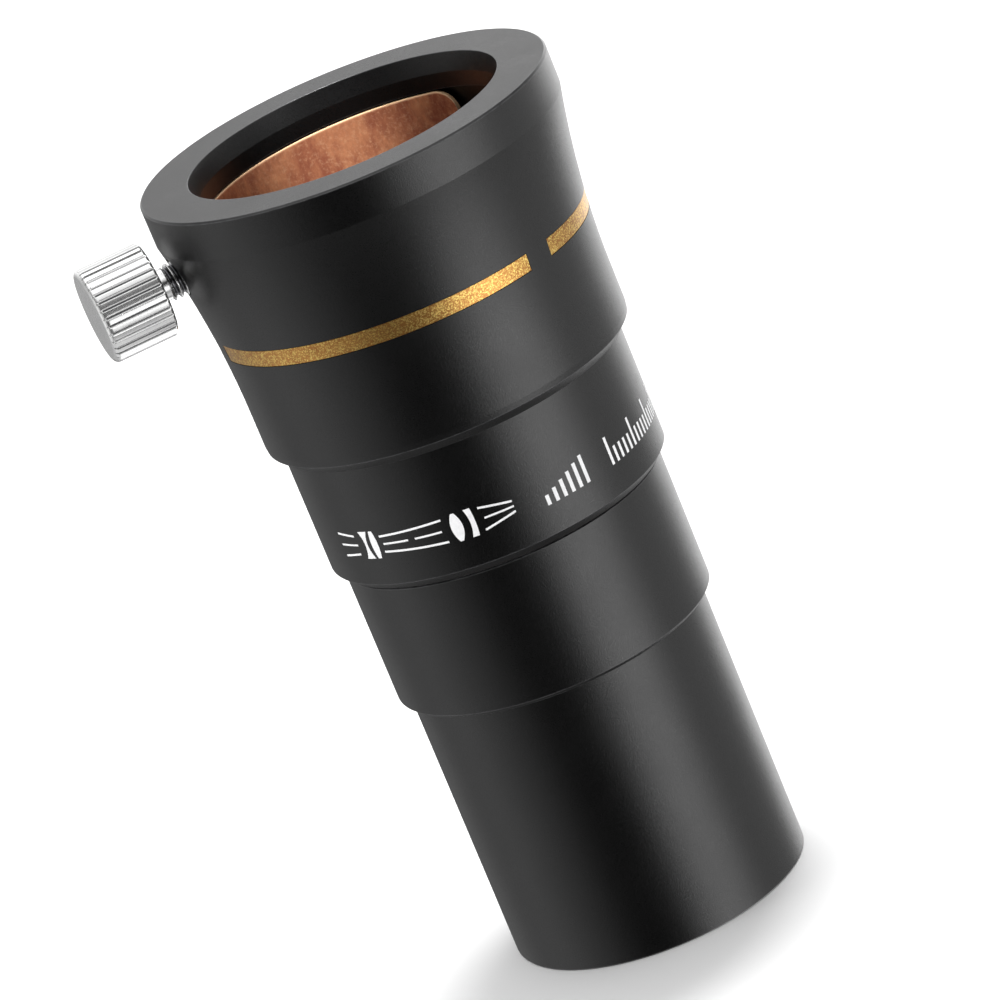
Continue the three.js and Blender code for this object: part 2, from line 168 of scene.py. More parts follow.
def tidy(obj, crease=32):
    """Merges doubled points, turns the faces outward and sets smooth shading with creases."""
    mesh = obj.data
    work = bmesh.new()
    work.from_mesh(mesh)
    bmesh.ops.remove_doubles(work, verts=work.verts, dist=2e-8)
    bmesh.ops.dissolve_degenerate(work, edges=work.edges, dist=1e-8)
    bmesh.ops.recalc_face_normals(work, faces=work.faces)
    work.to_mesh(mesh)
    work.free()
    mesh.polygons.foreach_set("use_smooth", [True] * len(mesh.polygons))
    mesh.set_sharp_from_angle(angle=math.radians(crease))
    mesh.update()


def even_angles(sides):
    return [360.0 * side / sides for side in range(sides)]


def lathe(name, outline, angles=None, warp=None, place=None, crease=32):
    """A turned piece: outline is a closed loop of (radius, z, wear).

    warp(angle, radius, z, wear) may move a point's radius, for threads, flutes and pockets.
    """
    angles = angles or even_angles(SIDES)
    points, wears = [], []
    for radius, z, wear_and_shade in outline:
        for angle in angles:
            r = warp(angle, radius, z, wear_and_shade) if warp else radius
            turn = math.radians(angle)
            points.append((r * math.cos(turn), r * math.sin(turn), z))
            wears.append(wear_and_shade)
    rows, columns = len(outline), len(angles)
    faces = []
    for row in range(rows):
        up = (row + 1) % rows
        for column in range(columns):
            beside = (column + 1) % columns
            faces.append((row * columns + column, row * columns + beside,
                          up * columns + beside, up * columns + column))
    return make(name, points, faces, wears, place, crease)


def swept(name, sections, crease=32, wear_and_shade=None):
    """A solid through equal loops of points, closed at both ends."""
    count = len(sections[0])
    points = [p for section in sections for p in section]
    faces = []
    for index in range(len(sections) - 1):
        for point in range(count):
            beside = (point + 1) % count
            low, high = index * count, (index + 1) * count
            faces.append((low + point, low + beside, high + beside, high + point))
    faces.append(tuple(range(count)))
    faces.append(tuple(len(points) - 1 - point for point in range(count)))
    return make(name, points, faces, wear_and_shade, None, crease)


def subtract(obj, cutter):
    """Cuts the cutter out of the object and removes the cutter."""
    cut = obj.modifiers.new("cut", "BOOLEAN")
    cut.operation, cut.solver, cut.object = "DIFFERENCE", "EXACT", cutter
    graph = bpy.context.evaluated_depsgraph_get()
    mesh = bpy.data.meshes.new_from_object(obj.evaluated_get(graph))
    obj.modifiers.clear()
    old, obj.data = obj.data, mesh
    bpy.data.meshes.remove(old)
    bpy.data.objects.remove(cutter)
    tidy(obj)


def on_cylinder(angle, radius, z):
    turn = math.radians(angle)
    return (radius * math.cos(turn), radius * math.sin(turn), z)


def thread_height(turns):
    """Share of the thread's full depth at a position counted in turns: flats joined by flanks."""
    share = abs((turns % 1.0) - 0.5) * 2.0
    return min(1.0, max(0.0, (share - 0.18) / 0.64))


def along_screw():
    """Puts a piece turned about +Z onto the thumbscrew's axis, pointing along -X."""
    lift = Matrix.Translation((0, 0, SCREW_Z * MM))
    return lift @ Matrix.Rotation(math.radians(-90), 4, "Y")


def finish_piece(obj, body, nodes, material):
    obj.data.materials.clear()
    obj.data.materials.append(material)
    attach(obj, body)
    if nodes:
        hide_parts(*nodes)
    return obj


# ------------------------------------------------------------------ material helpers

def add(tree, kind, inputs=None, **settings):
    """Adds a shader node; an input may be a value or another node's output."""
    node = tree.nodes.new(kind)
    for key, value in settings.items():
        setattr(node, key, value)
    for key, value in (inputs or {}).items():
        if isinstance(value, bpy.types.NodeSocket):
            tree.links.new(value, node.inputs[key])
        else:
            node.inputs[key].default_value = value
    return node


def noise(tree, place, per_metre, detail=3.0, rough=0.55):
    node = add(tree, "ShaderNodeTexNoise",
               {"Vector": place, "Scale": per_metre, "Detail": detail, "Roughness": rough})
    return node.outputs["Fac"]


def remap(tree, value, low, high, start=0.3, end=0.7):
    node = add(tree, "ShaderNodeMapRange", {"Value": value, "From Min": start, "From Max": end,
                                            "To Min": low, "To Max": high})
    return node.outputs["Result"]


def multiply(tree, a, b):
    return add(tree, "ShaderNodeMath", {0: a, 1: b}, operation="MULTIPLY").outputs[0]


def total(tree, a, b):
    return add(tree, "ShaderNodeMath", {0: a, 1: b}, operation="ADD").outputs[0]


def colour_mix(tree, share, first, second):
    node = add(tree, "ShaderNodeMix", data_type="RGBA")
    for socket, value in ((0, share), (6, first), (7, second)):
        if isinstance(value, bpy.types.NodeSocket):
            tree.links.new(value, node.inputs[socket])
        else:
            node.inputs[socket].default_value = (*value, 1.0) if socket else value
    return node.outputs[2]


def bump(tree, height, strength, depth_mm, below=None):
    inputs = {"Height": height, "Strength": strength, "Distance": depth_mm * MM}
    if below is not None:
        inputs["Normal"] = below
    return add(tree, "ShaderNodeBump", inputs).outputs["Normal"]


def begin(name):
    """A new node material: returns it with its tree, shader and object coordinates."""
    material = bpy.data.materials.new(name)
    material.use_nodes = True
    tree = material.node_tree
    shader = tree.nodes["Principled BSDF"]
    place = add(tree, "ShaderNodeTexCoord").outputs["Object"]
    return material, tree, shader, place


def wear_and_shade_of(tree):
    return add(tree, "ShaderNodeAttribute", attribute_name="wear_and_shade").outputs["Fac"]


def connect(tree, shader, **sockets):
    for key, value in sockets.items():
        tree.links.new(value, shader.inputs[key.replace("_", " ")])


# ------------------------------------------------------------------ materials

def black_anodised():
    """Satin black anodising over a fine bead-blasted grain, rubbed brighter at the edges."""
    material, tree, shader, place = begin("black_anodised_satin")
    grain = noise(tree, place, 7600, 2.0)
    fine = noise(tree, place, 15000, 1.0)
    cloud = noise(tree, place, 160, 4.0)
    rub_and_shade = multiply(tree, wear_and_shade_of(tree), remap(tree, noise(tree, place, 900, 3.0), 0.35, 1.0))
    dye = colour_mix(tree, remap(tree, grain, 0.0, 1.0), (0.0006, 0.0006, 0.0007), (0.0036, 0.0036, 0.0038))
    colour = colour_mix(tree, rub_and_shade, dye, (0.045, 0.045, 0.047))
    rough = total(tree, remap(tree, fine, 0.26, 0.40), remap(tree, cloud, -0.02, 0.02))
    normal = bump(tree, grain, 0.6, 0.028, bump(tree, fine, 0.6, 0.014))
    connect(tree, shader, Base_Color=colour, Roughness=rough, Normal=normal)
    shader.inputs["IOR"].default_value = 1.5
    return material


def cell_black():
    """Matt black anodising with a fine frosted surface, for the lens cells and light stops."""
    material, tree, shader, place = begin("black_matt_cells")
    grain = noise(tree, place, 9000, 3.0, 0.7)
    cloud = noise(tree, place, 240, 3.0)
    rub_and_shade = multiply(tree, wear_and_shade_of(tree), remap(tree, cloud, 0.2, 0.8))
    dye = colour_mix(tree, remap(tree, cloud, 0.0, 1.0), (0.010, 0.010, 0.0105), (0.019, 0.019, 0.020))
    connect(tree, shader, Base_Color=colour_mix(tree, rub_and_shade, dye, (0.07, 0.07, 0.075)),
            Roughness=remap(tree, grain, 0.48, 0.66), Normal=bump(tree, grain, 0.6, 0.02))
    return material


def gold_enamel():
    """Metallic gold paint: coarse flake, each with its own tone, in a clouded warm lacquer."""
    material, tree, shader, place = begin("gold_flake_enamel")
    flake = add(tree, "ShaderNodeTexVoronoi", {"Vector": place, "Scale": 9000.0})
    sparkle = add(tree, "ShaderNodeSeparateColor", {0: flake.outputs["Color"]}).outputs["Red"]
    cloud = noise(tree, place, 700, 4.0, 0.7)
    base = colour_mix(tree, remap(tree, cloud, 0.0, 1.0), (0.31, 0.13, 0.034), (0.44, 0.21, 0.055))
    colour = colour_mix(tree, remap(tree, sparkle, 0.0, 0.75, 0.45, 1.0), base, (1.0, 0.78, 0.24))
    rough = remap(tree, sparkle, 0.29, 0.40)
    normal = bump(tree, sparkle, 0.3, 0.009, bump(tree, cloud, 0.2, 0.02))
    connect(tree, shader, Base_Color=colour, Roughness=rough, Normal=normal,
            Metallic=remap(tree, sparkle, 0.74, 0.96))
    return material


def ring_bronze():
    """Rolled copper-bronze strip: tarnish clouds, rolling scratches and bright worn edges."""
    material, tree, shader, place = begin("copper_bronze_strip")
    stretch = add(tree, "ShaderNodeMapping", {"Vector": place, "Scale": (1.0, 1.0, 0.5)})
    cloud = noise(tree, stretch.outputs[0], 260, 6.0, 0.68)
    fine = noise(tree, place, 2600, 4.0, 0.7)
    streak = add(tree, "ShaderNodeMapping", {"Vector": place, "Scale": (0.12, 0.12, 1.0)})
    rolled = noise(tree, streak.outputs[0], 5200, 3.0, 0.6)
    clouding = remap(tree, cloud, 0.0, 1.0, 0.38, 0.62)
    tarnish = colour_mix(tree, clouding, (0.44, 0.14, 0.075), (0.86, 0.37, 0.18))
    speck = colour_mix(tree, remap(tree, fine, 0.0, 0.6, 0.5, 0.8), tarnish, (0.95, 0.58, 0.34))
    colour = colour_mix(tree, wear_and_shade_of(tree), speck, (0.98, 0.66, 0.40))
    rough = total(tree, remap(tree, cloud, 0.56, 0.46), remap(tree, fine, 0.0, 0.08))
    normal = bump(tree, rolled, 0.35, 0.01, bump(tree, cloud, 0.3, 0.05))
    connect(tree, shader, Base_Color=colour, Roughness=rough, Normal=normal)
    shader.inputs["Metallic"].default_value = 0.6
    return material


def turned_rings(tree, place, per_metre):
    """Rings round the thumbscrew's axis, as a lathe tool leaves on a faced end."""
    moved = add(tree, "ShaderNodeMapping", {"Vector": place, "Location": (0.0, 0.0, -SCREW_Z * MM)})
    parts = add(tree, "ShaderNodeSeparateXYZ", {0: moved.outputs[0]})
    flat = add(tree, "ShaderNodeCombineXYZ", {1: parts.outputs[1], 2: parts.outputs[2]})
    reach = add(tree, "ShaderNodeVectorMath", {0: flat.outputs[0]}, operation="LENGTH")
    along = add(tree, "ShaderNodeCombineXYZ", {0: reach.outputs["Value"]})
    return noise(tree, along.outputs[0], per_metre, 2.0)


def bright_plate():
    """Bright nickel plate with faint turning rings and handling marks, painted near black as shade in the
    groove bottoms and round the inner bevel, where the mask attribute is 1.
    """
    material, tree, shader, place = begin("bright_nickel_plate")
    rings = turned_rings(tree, place, 5200)
    wavy = noise(tree, place, 350, 2.0)
    marks = noise(tree, place, 3000, 5.0, 0.75)
    unshaded = colour_mix(tree, remap(tree, wavy, 0.0, 1.0), (0.80, 0.80, 0.80), (0.86, 0.86, 0.855))
    # Painted shade: where the mask is 1 the plate is darkened to near black, in the grooves and at the inner
    # bevel.
    colour = colour_mix(tree, wear_and_shade_of(tree), unshaded, (0.16, 0.16, 0.165))
    rough = total(tree, remap(tree, marks, 0.15, 0.21), remap(tree, rings, 0.0, 0.04))
    normal = bump(tree, rings, 0.15, 0.003, bump(tree, wavy, 0.1, 0.01))
    connect(tree, shader, Base_Color=colour, Roughness=rough, Normal=normal)
    shader.inputs["Metallic"].default_value = 0.86
    return material


def screw_steel():
    """Zinc-plated steel of the screw thread, painted dark as shade in the roots and bright as highlight on
    the crests and neck.
    """
    material, tree, shader, place = begin("zinc_plated_steel")
    cloud = noise(tree, place, 1500, 4.0, 0.65)
    rub_and_shade = wear_and_shade_of(tree)
    root = colour_mix(tree, remap(tree, cloud, 0.0, 1.0), (0.12, 0.12, 0.13), (0.26, 0.26, 0.27))
    # Painted shade and highlight: roots darkened to 0.12-0.26, crests and neck made bright at 0.86.
    connect(tree, shader, Base_Color=colour_mix(tree, rub_and_shade, root, (0.86, 0.86, 0.86)),
            Roughness=remap(tree, cloud, 0.14, 0.30), Normal=bump(tree, cloud, 0.4, 0.02))
    shader.inputs["Metallic"].default_value = 1.0
    return material


def coated_glass(name, tint):
    """Tinted glass under an anti-reflection coating that mirrors blue, very slightly uneven."""
    material, tree, shader, place = begin(name)
    cloud = noise(tree, place, 300, 2.0)
    body = colour_mix(tree, remap(tree, cloud, 0.0, 1.0), tuple(c * 0.8 for c in tint), tint)
    connect(tree, shader, Base_Color=body, Roughness=remap(tree, cloud, 0.0, 0.015),
            Normal=bump(tree, cloud, 0.05, 0.002))
    shader.inputs["Transmission Weight"].default_value = 0.9
    shader.inputs["IOR"].default_value = 1.6
    shader.inputs["Specular Tint"].default_value = (0.42, 0.80, 1.0, 1.0)
    shader.inputs["Coat Weight"].default_value = 0.35
    shader.inputs["Coat Tint"].default_value = (0.60, 0.80, 1.0, 1.0)
    shader.inputs["Coat Roughness"].default_value = 0.02
    return material


def white_ink():
    """Screen-printed white ink, slightly patchy, with a matt skin."""
    material, tree, shader, place = begin("white_print_ink")
    cloud = noise(tree, place, 1800, 4.0, 0.6)
    colour = colour_mix(tree, remap(tree, cloud, 0.0, 1.0), (0.84, 0.84, 0.85), (0.96, 0.96, 0.965))
    connect(tree, shader, Base_Color=colour, Roughness=remap(tree, cloud, 0.45, 0.62),
            Normal=bump(tree, cloud, 0.3, 0.01))
    return material


# ------------------------------------------------------------------ eyepiece holder

def flare_radius(z):
    rise = max(0.0, z - FLARE_START)
    return FLARE_RADIUS + FLARE_ARC - math.sqrt(FLARE_ARC ** 2 - rise * rise)


def flare_rows():
    """Outline corners up the flare, with the band's pocket as two pairs of rows."""
    lip, floor = 0.012, flare_radius(BAND_LOW) - BAND_DEPTH
    rows = [(flare_radius(z), z, 0.0) for z in (FLARE_START, 66.0, 68.0, 69.5, 70.6, 71.2)]
    rows += [(flare_radius(BAND_LOW), BAND_LOW, 0.0), (floor, BAND_LOW + lip, 0.0)]
    rows += [(floor, BAND_HIGH - lip, 0.0), (flare_radius(BAND_HIGH), BAND_HIGH, 0.0)]
    rows += [(flare_radius(z), z, 0.0) for z in (73.5, 74.5, 76.0, 77.5, 79.0, 80.5, 81.8, 82.9)]
    return rows


def in_band(angle):
    return any(low <= angle <= high or low <= angle - 360 <= high for low, high in BAND_ARCS)


def pocket_warp(angle, radius, z, wear_and_shade):
    """Fills the band's pocket back up to the flare in the gaps between the arcs."""
    if BAND_LOW < z < BAND_HIGH and radius > SOCKET_RADIUS + 1.5 and not in_band(angle):
        return flare_radius(z)
    return radius


def holder_angles():
    """Even columns, with a tight pair at each end of each gold arc for the pocket's end walls."""
    ends = [end % 360 for arc in BAND_ARCS for end in arc]
    angles = [a for a in even_angles(SIDES) if min(abs(a - end) for end in ends) > 0.2]
    return sorted(angles + [end + side for end in ends for side in (-0.02, 0.02)])


def screw_hole():
    """Cutter for the thumbscrew's hole, with a small countersink at the outside."""
    surface, hole, sink = flare_radius(SCREW_Z), 2.02, 2.40
    inner, outer = GROOVE_RADIUS - 1.2, FLANGE_RADIUS + 2
    outline = [(0.0, inner), (hole, inner), (hole, surface - 0.30),
               (sink, surface + 0.10), (sink, outer), (0.0, outer)]
    return lathe("screw_hole_cutter", [(r, z, 0.0) for r, z in outline], even_angles(64),
                 place=along_screw())


def build_holder(material):
    flare_edge = FLARE_RADIUS - EASE
    outline = rounded([
        (JOINT_RADIUS, HOLDER_BASE, 0.04),
        (PRINT_RADIUS - BASE_CHAMFER, HOLDER_BASE, 0.03),
        (PRINT_RADIUS, HOLDER_BASE + BASE_CHAMFER, 0.03),
        (PRINT_RADIUS, FLARE_EDGE - FLARE_CHAMFER, 0.03),
        (flare_edge - FLARE_CHAMFER, FLARE_EDGE - FLARE_CHAMFER, 0.03),
        (flare_edge, FLARE_EDGE, 0.03),
        (FLARE_RADIUS, EASE_Z, 0.9),
        *flare_rows(),
        (flare_radius(FLANGE_Z), FLANGE_Z, 0.05),
        (FLANGE_RADIUS, TOTAL_LENGTH - 0.2, 0.05),
        (FLANGE_RADIUS - 0.2, TOTAL_LENGTH, 0.05),
        (SOCKET_RADIUS + MOUTH_TAPER, TOTAL_LENGTH, 0.04),
        (SOCKET_RADIUS, TOTAL_LENGTH - MOUTH_DEPTH, 0.05),
        (SOCKET_RADIUS, GROOVE_HIGH, 0.04),
        (GROOVE_RADIUS, GROOVE_HIGH, 0.03),
        (GROOVE_RADIUS, GROOVE_LOW, 0.03),
        (SOCKET_RADIUS, GROOVE_LOW, 0.04),
        (SOCKET_RADIUS, LAND_Z, 0.04),
        (RELIEF_RADIUS, LAND_Z - 0.4, 0.04),
        (RELIEF_RADIUS, LEDGE_HIGH, 0.05),
        (LEDGE_RADIUS, LEDGE_HIGH, 0.06),
        (LEDGE_RADIUS, LEDGE_LOW, 0.06),
        (JOINT_RADIUS, LEDGE_LOW, 0.04),
    ])
    holder = lathe("holder_body", outline, holder_angles(), pocket_warp)
    subtract(holder, screw_hole())
    return finish_piece(holder, "root", ["eyepiece_holder"], material)


def build_band(number, arc, material):
    """One gold arc, lying in its pocket just below the surface of the flare."""
    below, gap = 0.02, 0.02
    floor = flare_radius(BAND_LOW) - BAND_DEPTH + gap
    low, high = BAND_LOW + gap + 0.015, BAND_HIGH - gap - 0.015
    edge = 0.03
    end_gap = math.degrees((gap + 0.01) / FLARE_RADIUS)
    start, end = arc[0] + end_gap, arc[1] - end_gap
    steps = 150
    loop = [(floor, low), (flare_radius(low) - below - edge, low)]
    loop += [(flare_radius(low + edge) - below, low + edge)]
    loop += [(flare_radius(z) - below, z) for z in (low + 0.12, (low + high) / 2, high - 0.12)]
    loop += [(flare_radius(high - edge) - below, high - edge)]
    loop += [(flare_radius(high) - below - edge, high), (floor, high)]
    angles = [start + (end - start) * step / steps for step in range(steps + 1)]
    sections = [[on_cylinder(angle, r, z) for r, z in loop] for angle in angles]
    band = swept(f"gold_arc_{number}", sections)
    return finish_piece(band, "root", [f"gold_band_arc_{number}"], material)


# ------------------------------------------------------------------ compression ring

def build_ring(material):
    """A split strip bent round the socket, with round ends and polished edges."""
    low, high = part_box("compression_ring")
    bottom, top = low.z / MM, high.z / MM
    inner, outer, half_gap = 15.9, 16.4, 34.0
    corner, edge = 2.3, 0.1
    middle = (inner + outer) / 2
    length = math.radians(360 - 2 * half_gap) * middle
    near = [corner * (1 - math.cos(math.radians(a))) for a in range(0, 90, 6)] + [corner]
    inside = [corner + (length - 2 * corner) * step / 200 for step in range(1, 200)]
    places = near + inside + [length - s for s in reversed(near)]
    sections, wears = [], []

    def section(s, shrink):
        """Loop of points round the strip's cross-section at arc length s."""
        from_end = min(s, length - s, corner)
        drop = corner - math.sqrt(max(0.0, corner ** 2 - (corner - from_end) ** 2))
        z_low, z_high = bottom + drop, top - drop
        angle = half_gap + math.degrees(s / middle)
        loop, loop_wear = [], []
        thin = edge - shrink
        for r, z, rub_and_shade in (
            (inner + edge, z_low, 1), (inner + 0.03 + shrink, z_low + 0.03, 1),
            (inner + shrink, z_low + edge, 0.6), (inner + shrink, z_low + 0.25, 0),
            (inner + shrink, (z_low + z_high) / 2, 0),
            (inner + shrink, z_high - 0.25, 0), (inner + shrink, z_high - edge, 0.6),
            (inner + 0.03 + shrink, z_high - 0.03, 1), (inner + edge, z_high, 1),
            (outer - edge, z_high, 1), (outer - 0.03 - shrink, z_high - 0.03, 1),
            (outer - shrink, z_high - edge, 0.6), (outer - shrink, (z_low + z_high) / 2, 0),
            (outer - shrink, z_low + edge, 0.6), (outer - 0.03 - shrink, z_low + 0.03, 1),
            (outer - edge, z_low, 1),
        ):
            loop.append(on_cylinder(angle, r, min(max(z, z_low), z_high)))
            loop_wear.append(max(rub_and_shade, 1.0 - thin / edge, 0.8 if from_end < edge else 0.0))
        return loop, loop_wear

    for index, s in enumerate(places):
        at_end = index in (0, len(places) - 1)
        loop, loop_wear = section(s, 0.06 if at_end else 0.0)
        sections.append(loop)
        wears += loop_wear
    ring = swept("split_ring", sections, 34, wears)
    return finish_piece(ring, "clamp_ring", ["compression_ring"], material)


# ------------------------------------------------------------------ thumbscrew

def build_head(material):
    """Straight-knurled head: flat ridges, V grooves, a round outer edge and a small inner bevel."""
    pitch = 360.0 / FLUTES
    shares = [(0.0, 0.02), (0.04, 0.0), (0.12, 0.0), (0.28, 0.0), (0.44, 0.0), (0.52, 0.0),
              (0.56, 0.02), (0.62, 0.25), (0.70, 0.70), (0.755, 0.96), (0.775, 1.0), (0.795, 0.96),
              (0.85, 0.70), (0.93, 0.25)]
    depth_at = {}
    for flute in range(FLUTES):
        for share, depth in shares:
            depth_at[round((flute + share) * pitch, 6)] = depth
    outer_bevel, inner_bevel = 0.6, 0.25
    side = []
    for step in range(11):
        z = HEAD_IN + inner_bevel * step / 10
        side.append((HEAD_RADIUS - inner_bevel * (1 - step / 10), z, 0.0))
    side += [(HEAD_RADIUS, z, 0.0) for z in (HEAD_IN + inner_bevel + 0.1, (HEAD_IN + HEAD_OUT) / 2,
                                             HEAD_OUT - outer_bevel - 0.1)]
    for step in range(25):
        turn = math.radians(90 * step / 24)
        z = HEAD_OUT - outer_bevel + outer_bevel * math.sin(turn)
        side.append((HEAD_RADIUS - outer_bevel * (1 - math.cos(turn)), z, 0.0))
    outline = [(0.0, HEAD_IN + 1.0, 0.0), (1.75, HEAD_IN + 1.0, 0.0), (1.75, HEAD_IN + 0.1, 0.0),
               (1.85, HEAD_IN, 0.0), (2.4, HEAD_IN, 0.0), (3.6, HEAD_IN, 0.0)]
    outline += side
    outline += [(r, HEAD_OUT, 0.0) for r in (4.3, 3.4, 2.2, 1.0, 0.0)]

    def flute_warp(angle, radius, z, wear_and_shade):
        cut = HEAD_RADIUS - FLUTE_DEPTH * depth_at[round(angle, 6)]
        return min(radius, cut)

    head = lathe("screw_head_knurled", outline, sorted(depth_at), flute_warp, along_screw(), 28)
    shade_grooves(head)
    return finish_piece(head, "screw_head", ["thumbscrew_head"], material)


def screw_places(obj):
    """Each point's distance from the thumbscrew's axis and from the object's own, in mm."""
    return [(math.hypot(vertex.co.y, vertex.co.z - SCREW_Z * MM) / MM, -vertex.co.x / MM)
            for vertex in obj.data.vertices]


def shade_grooves(obj):
    """Sets the shading mask to 1 at the bottom of each groove and round the inner bevel, where painted shade
    darkens the head.
    """
    values = []
    for reach, outward in screw_places(obj):
        depth = (HEAD_RADIUS - reach) / FLUTE_DEPTH
        groove = min(1.0, max(0.0, (depth - 0.55) / 0.4))
        straight = HEAD_IN + 0.2 < outward < HEAD_OUT - 0.45
        inner = outward < HEAD_IN + 0.12 and reach > 4.2
        # Painted shade: 0.75 on the inner bevel, rising to 1 in the groove bottoms.
        values.append(0.75 if inner else groove if straight else 0.0)
    obj.data.attributes["wear_and_shade"].data.foreach_set("value", values)


def build_shank(material):
    """The screw's plain neck, its M4 thread as a real helix, and the bevelled tip."""
    start, run_out = THREAD_START, THREAD_END
    tip, neck, neck_end = 16.9, 1.66, HEAD_IN + 0.9
    rows = [(0.0, tip, 0.0), (1.1, tip, 0.0), (1.3, tip + 0.08, 0.0), (1.42, start - 0.1, 0.0)]
    count = int((run_out - start) / 0.035)
    rows += [(SCREW_CREST, start + (run_out - start) * step / count, 1.0) for step in range(count + 1)]
    rows += [(neck, z, 0.0) for z in (run_out + 0.12, run_out + 0.4, neck_end)]
    rows.append((0.0, neck_end, 0.0))

    def helix(angle, radius, z, wear_and_shade):
        if wear_and_shade < 0.5:
            return radius
        height = thread_height(z / SCREW_PITCH - angle / 360.0)
        cut = SCREW_ROOT + (SCREW_CREST - SCREW_ROOT) * height
        lead_in = 1.42 + (z - start) * 0.9
        lead_out = neck + (run_out - z) * 1.4
        return min(cut, lead_in, max(lead_out, SCREW_ROOT))

    shank = lathe("screw_shank_thread", rows, even_angles(96), helix, along_screw(), 60)
    shade_crests(shank)
    return finish_piece(shank, "screw_head", ["thumbscrew_shank"], material)


def shade_crests(obj):
    """Sets the shading mask to 1 on the thread's crests and the plain neck, and 0 in its roots: painted
    highlight on crests and neck, painted shade in the roots.
    """
    values = []
    for reach, outward in screw_places(obj):
        plain = outward > THREAD_END + 0.1
        values.append(1.0 if plain else min(1.0, max(0.0, (reach - 1.6) / 0.28)))
    obj.data.attributes["wear_and_shade"].data.foreach_set("value", values)


# ------------------------------------------------------------------ nosepiece

def build_nosepiece(material):
    """One turned tube: stepped outside, filter thread cut as a real helix inside the open end."""
    thread_rows = int(FILTER_TOP / 0.05)
    upper = rounded([
        (NOSE_RADIUS - 0.12, 0.0, 0.03),
        (NOSE_RADIUS, 0.12, 0.03),
        (NOSE_RADIUS, NOSE_SHOULDER, 0.04),
        (BODY_RADIUS - SHOULDER_CHAMFER, NOSE_SHOULDER, 0.03),
        (BODY_RADIUS, NOSE_SHOULDER + SHOULDER_CHAMFER, 0.03),
        (BODY_RADIUS, BODY_TOP - 0.12, 0.04),
        (BODY_RADIUS - 0.12, BODY_TOP, 0.04),
        (NECK_GROOVE_RADIUS, BODY_TOP, 0.05),
        (NECK_GROOVE_RADIUS, HOLDER_BASE - 0.05, 0.02),
        (TENON_RADIUS, HOLDER_BASE - 0.05, 0.03),
        (TENON_RADIUS, TENON_TOP, 0.1),
        (NOSE_BORE, TENON_TOP, 0.06),
        (NOSE_BORE, NOSE_SEAT, 0.04),
        (FILTER_CREST, NOSE_SEAT, 0.03),
        (FILTER_CREST, FRONT_FACE, 0.03),
        (FILTER_RELIEF, FRONT_FACE, 0.04),
        (FILTER_RELIEF, FILTER_TOP + 0.02, 0.0),
        (FILTER_CREST, FILTER_TOP, 0.0),
        (FILTER_CREST + 0.3, 0.0, 0.0),
    ])
    mouth = [(FILTER_CREST, FILTER_TOP * (1 - step / thread_rows), 0.5) for step in range(1, thread_rows)]
    outline = upper[:-1] + mouth + upper[-1:]

    def thread(angle, radius, z, wear_and_shade):
        if not (0.0 < z <= FILTER_TOP and radius < FILTER_RELIEF - 0.01):
            return radius
        height = thread_height(z / FILTER_PITCH - angle / 360.0)
        cut = FILTER_CREST + (FILTER_ROOT - FILTER_CREST) * height
        return max(cut, FILTER_CREST + 0.3 - z)

    nose = lathe("nosepiece_tube", outline, None, thread, None, 40)
    return finish_piece(nose, "root", ["nosepiece"], material)


def build_light_stop(node, aperture, material):
    low, high = (c.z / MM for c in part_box(node))
    outer = NOSE_BORE - 0.08
    middle = (low + high) / 2
    outline = rounded([
        (aperture, middle, 0.02), (aperture + 0.8, low, 0.05), (outer, low, 0.05),
        (outer, high, 0.05), (aperture + 0.8, high, 0.05),
    ], 3)
    stop = lathe(node + "_ring", outline, even_angles(SMALL_SIDES))
    return finish_piece(stop, "root", [node], material)


# ------------------------------------------------------------------ lens groups

def sphere_height(vertex_z, curvature):
    """Height of a spherical surface as a function of radius."""
    sign = math.copysign(1.0, curvature)
    return lambda r: vertex_z + curvature - sign * math.sqrt(curvature ** 2 - r * r)


def build_lens(name, node, radius, clear, low_face, high_face, rim, material):
    """A ground lens: two spherical faces, a straight rim and small edge bevels."""
    steps = 28
    outline = [(clear * step / steps, low_face(clear * step / steps), 0.0) for step in range(steps + 1)]
    outline += [(radius - 0.08, rim[0], 0.0), (radius, rim[0] + 0.08, 0.0)]
    outline += [(radius, rim[1] - 0.08, 0.0), (radius - 0.08, rim[1], 0.0)]
    outline += [(clear * step / steps, high_face(clear * step / steps), 0.0) for step in range(steps, -1, -1)]
    glass = lathe(name, outline, even_angles(SMALL_SIDES), None, None, 40)
    return finish_piece(glass, "root", [node], material)


def build_front_cell(material):
    """Flat-faced cell that holds the front pair, with a spanner hole and a stepped, bevelled mouth."""
    rim, hub, pocket, aperture = 14.08, 8.2, 6.18, 4.4
    seat, hub_top = 7.0, node_top("front_cell")
    outline = rounded([
        (aperture + 0.32, FRONT_FACE, 0.03),
        (rim, FRONT_FACE, 0.05),
        (rim, NOSE_SEAT - 0.1, 0.05),
        (hub, NOSE_SEAT - 0.1, 0.05),
        (hub, hub_top, 0.08),
        (pocket, hub_top, 0.05),
        (pocket, seat, 0.03),
        (aperture, seat, 0.03),
        (aperture, FRONT_FACE + 0.32, 0.03),
    ])
    cell = lathe("front_cell_plate", outline, even_angles(SMALL_SIDES))
    hole_radius, bevel, offset = 1.0, 0.12, 10.7
    wide, above = hole_radius + bevel, FRONT_FACE - 1
    hole = lathe("spanner_hole_cutter", [
        (0.0, above, 0.0), (wide, above, 0.0), (wide, FRONT_FACE, 0.0),
        (hole_radius, FRONT_FACE + bevel, 0.0), (hole_radius, FRONT_FACE + 2.0, 0.0),
        (0.0, FRONT_FACE + 2.5, 0.0),
    ], even_angles(48), place=Matrix.Translation((0, -offset * MM, 0)))
    subtract(cell, hole)
    return finish_piece(cell, "root", ["front_cell"], material)


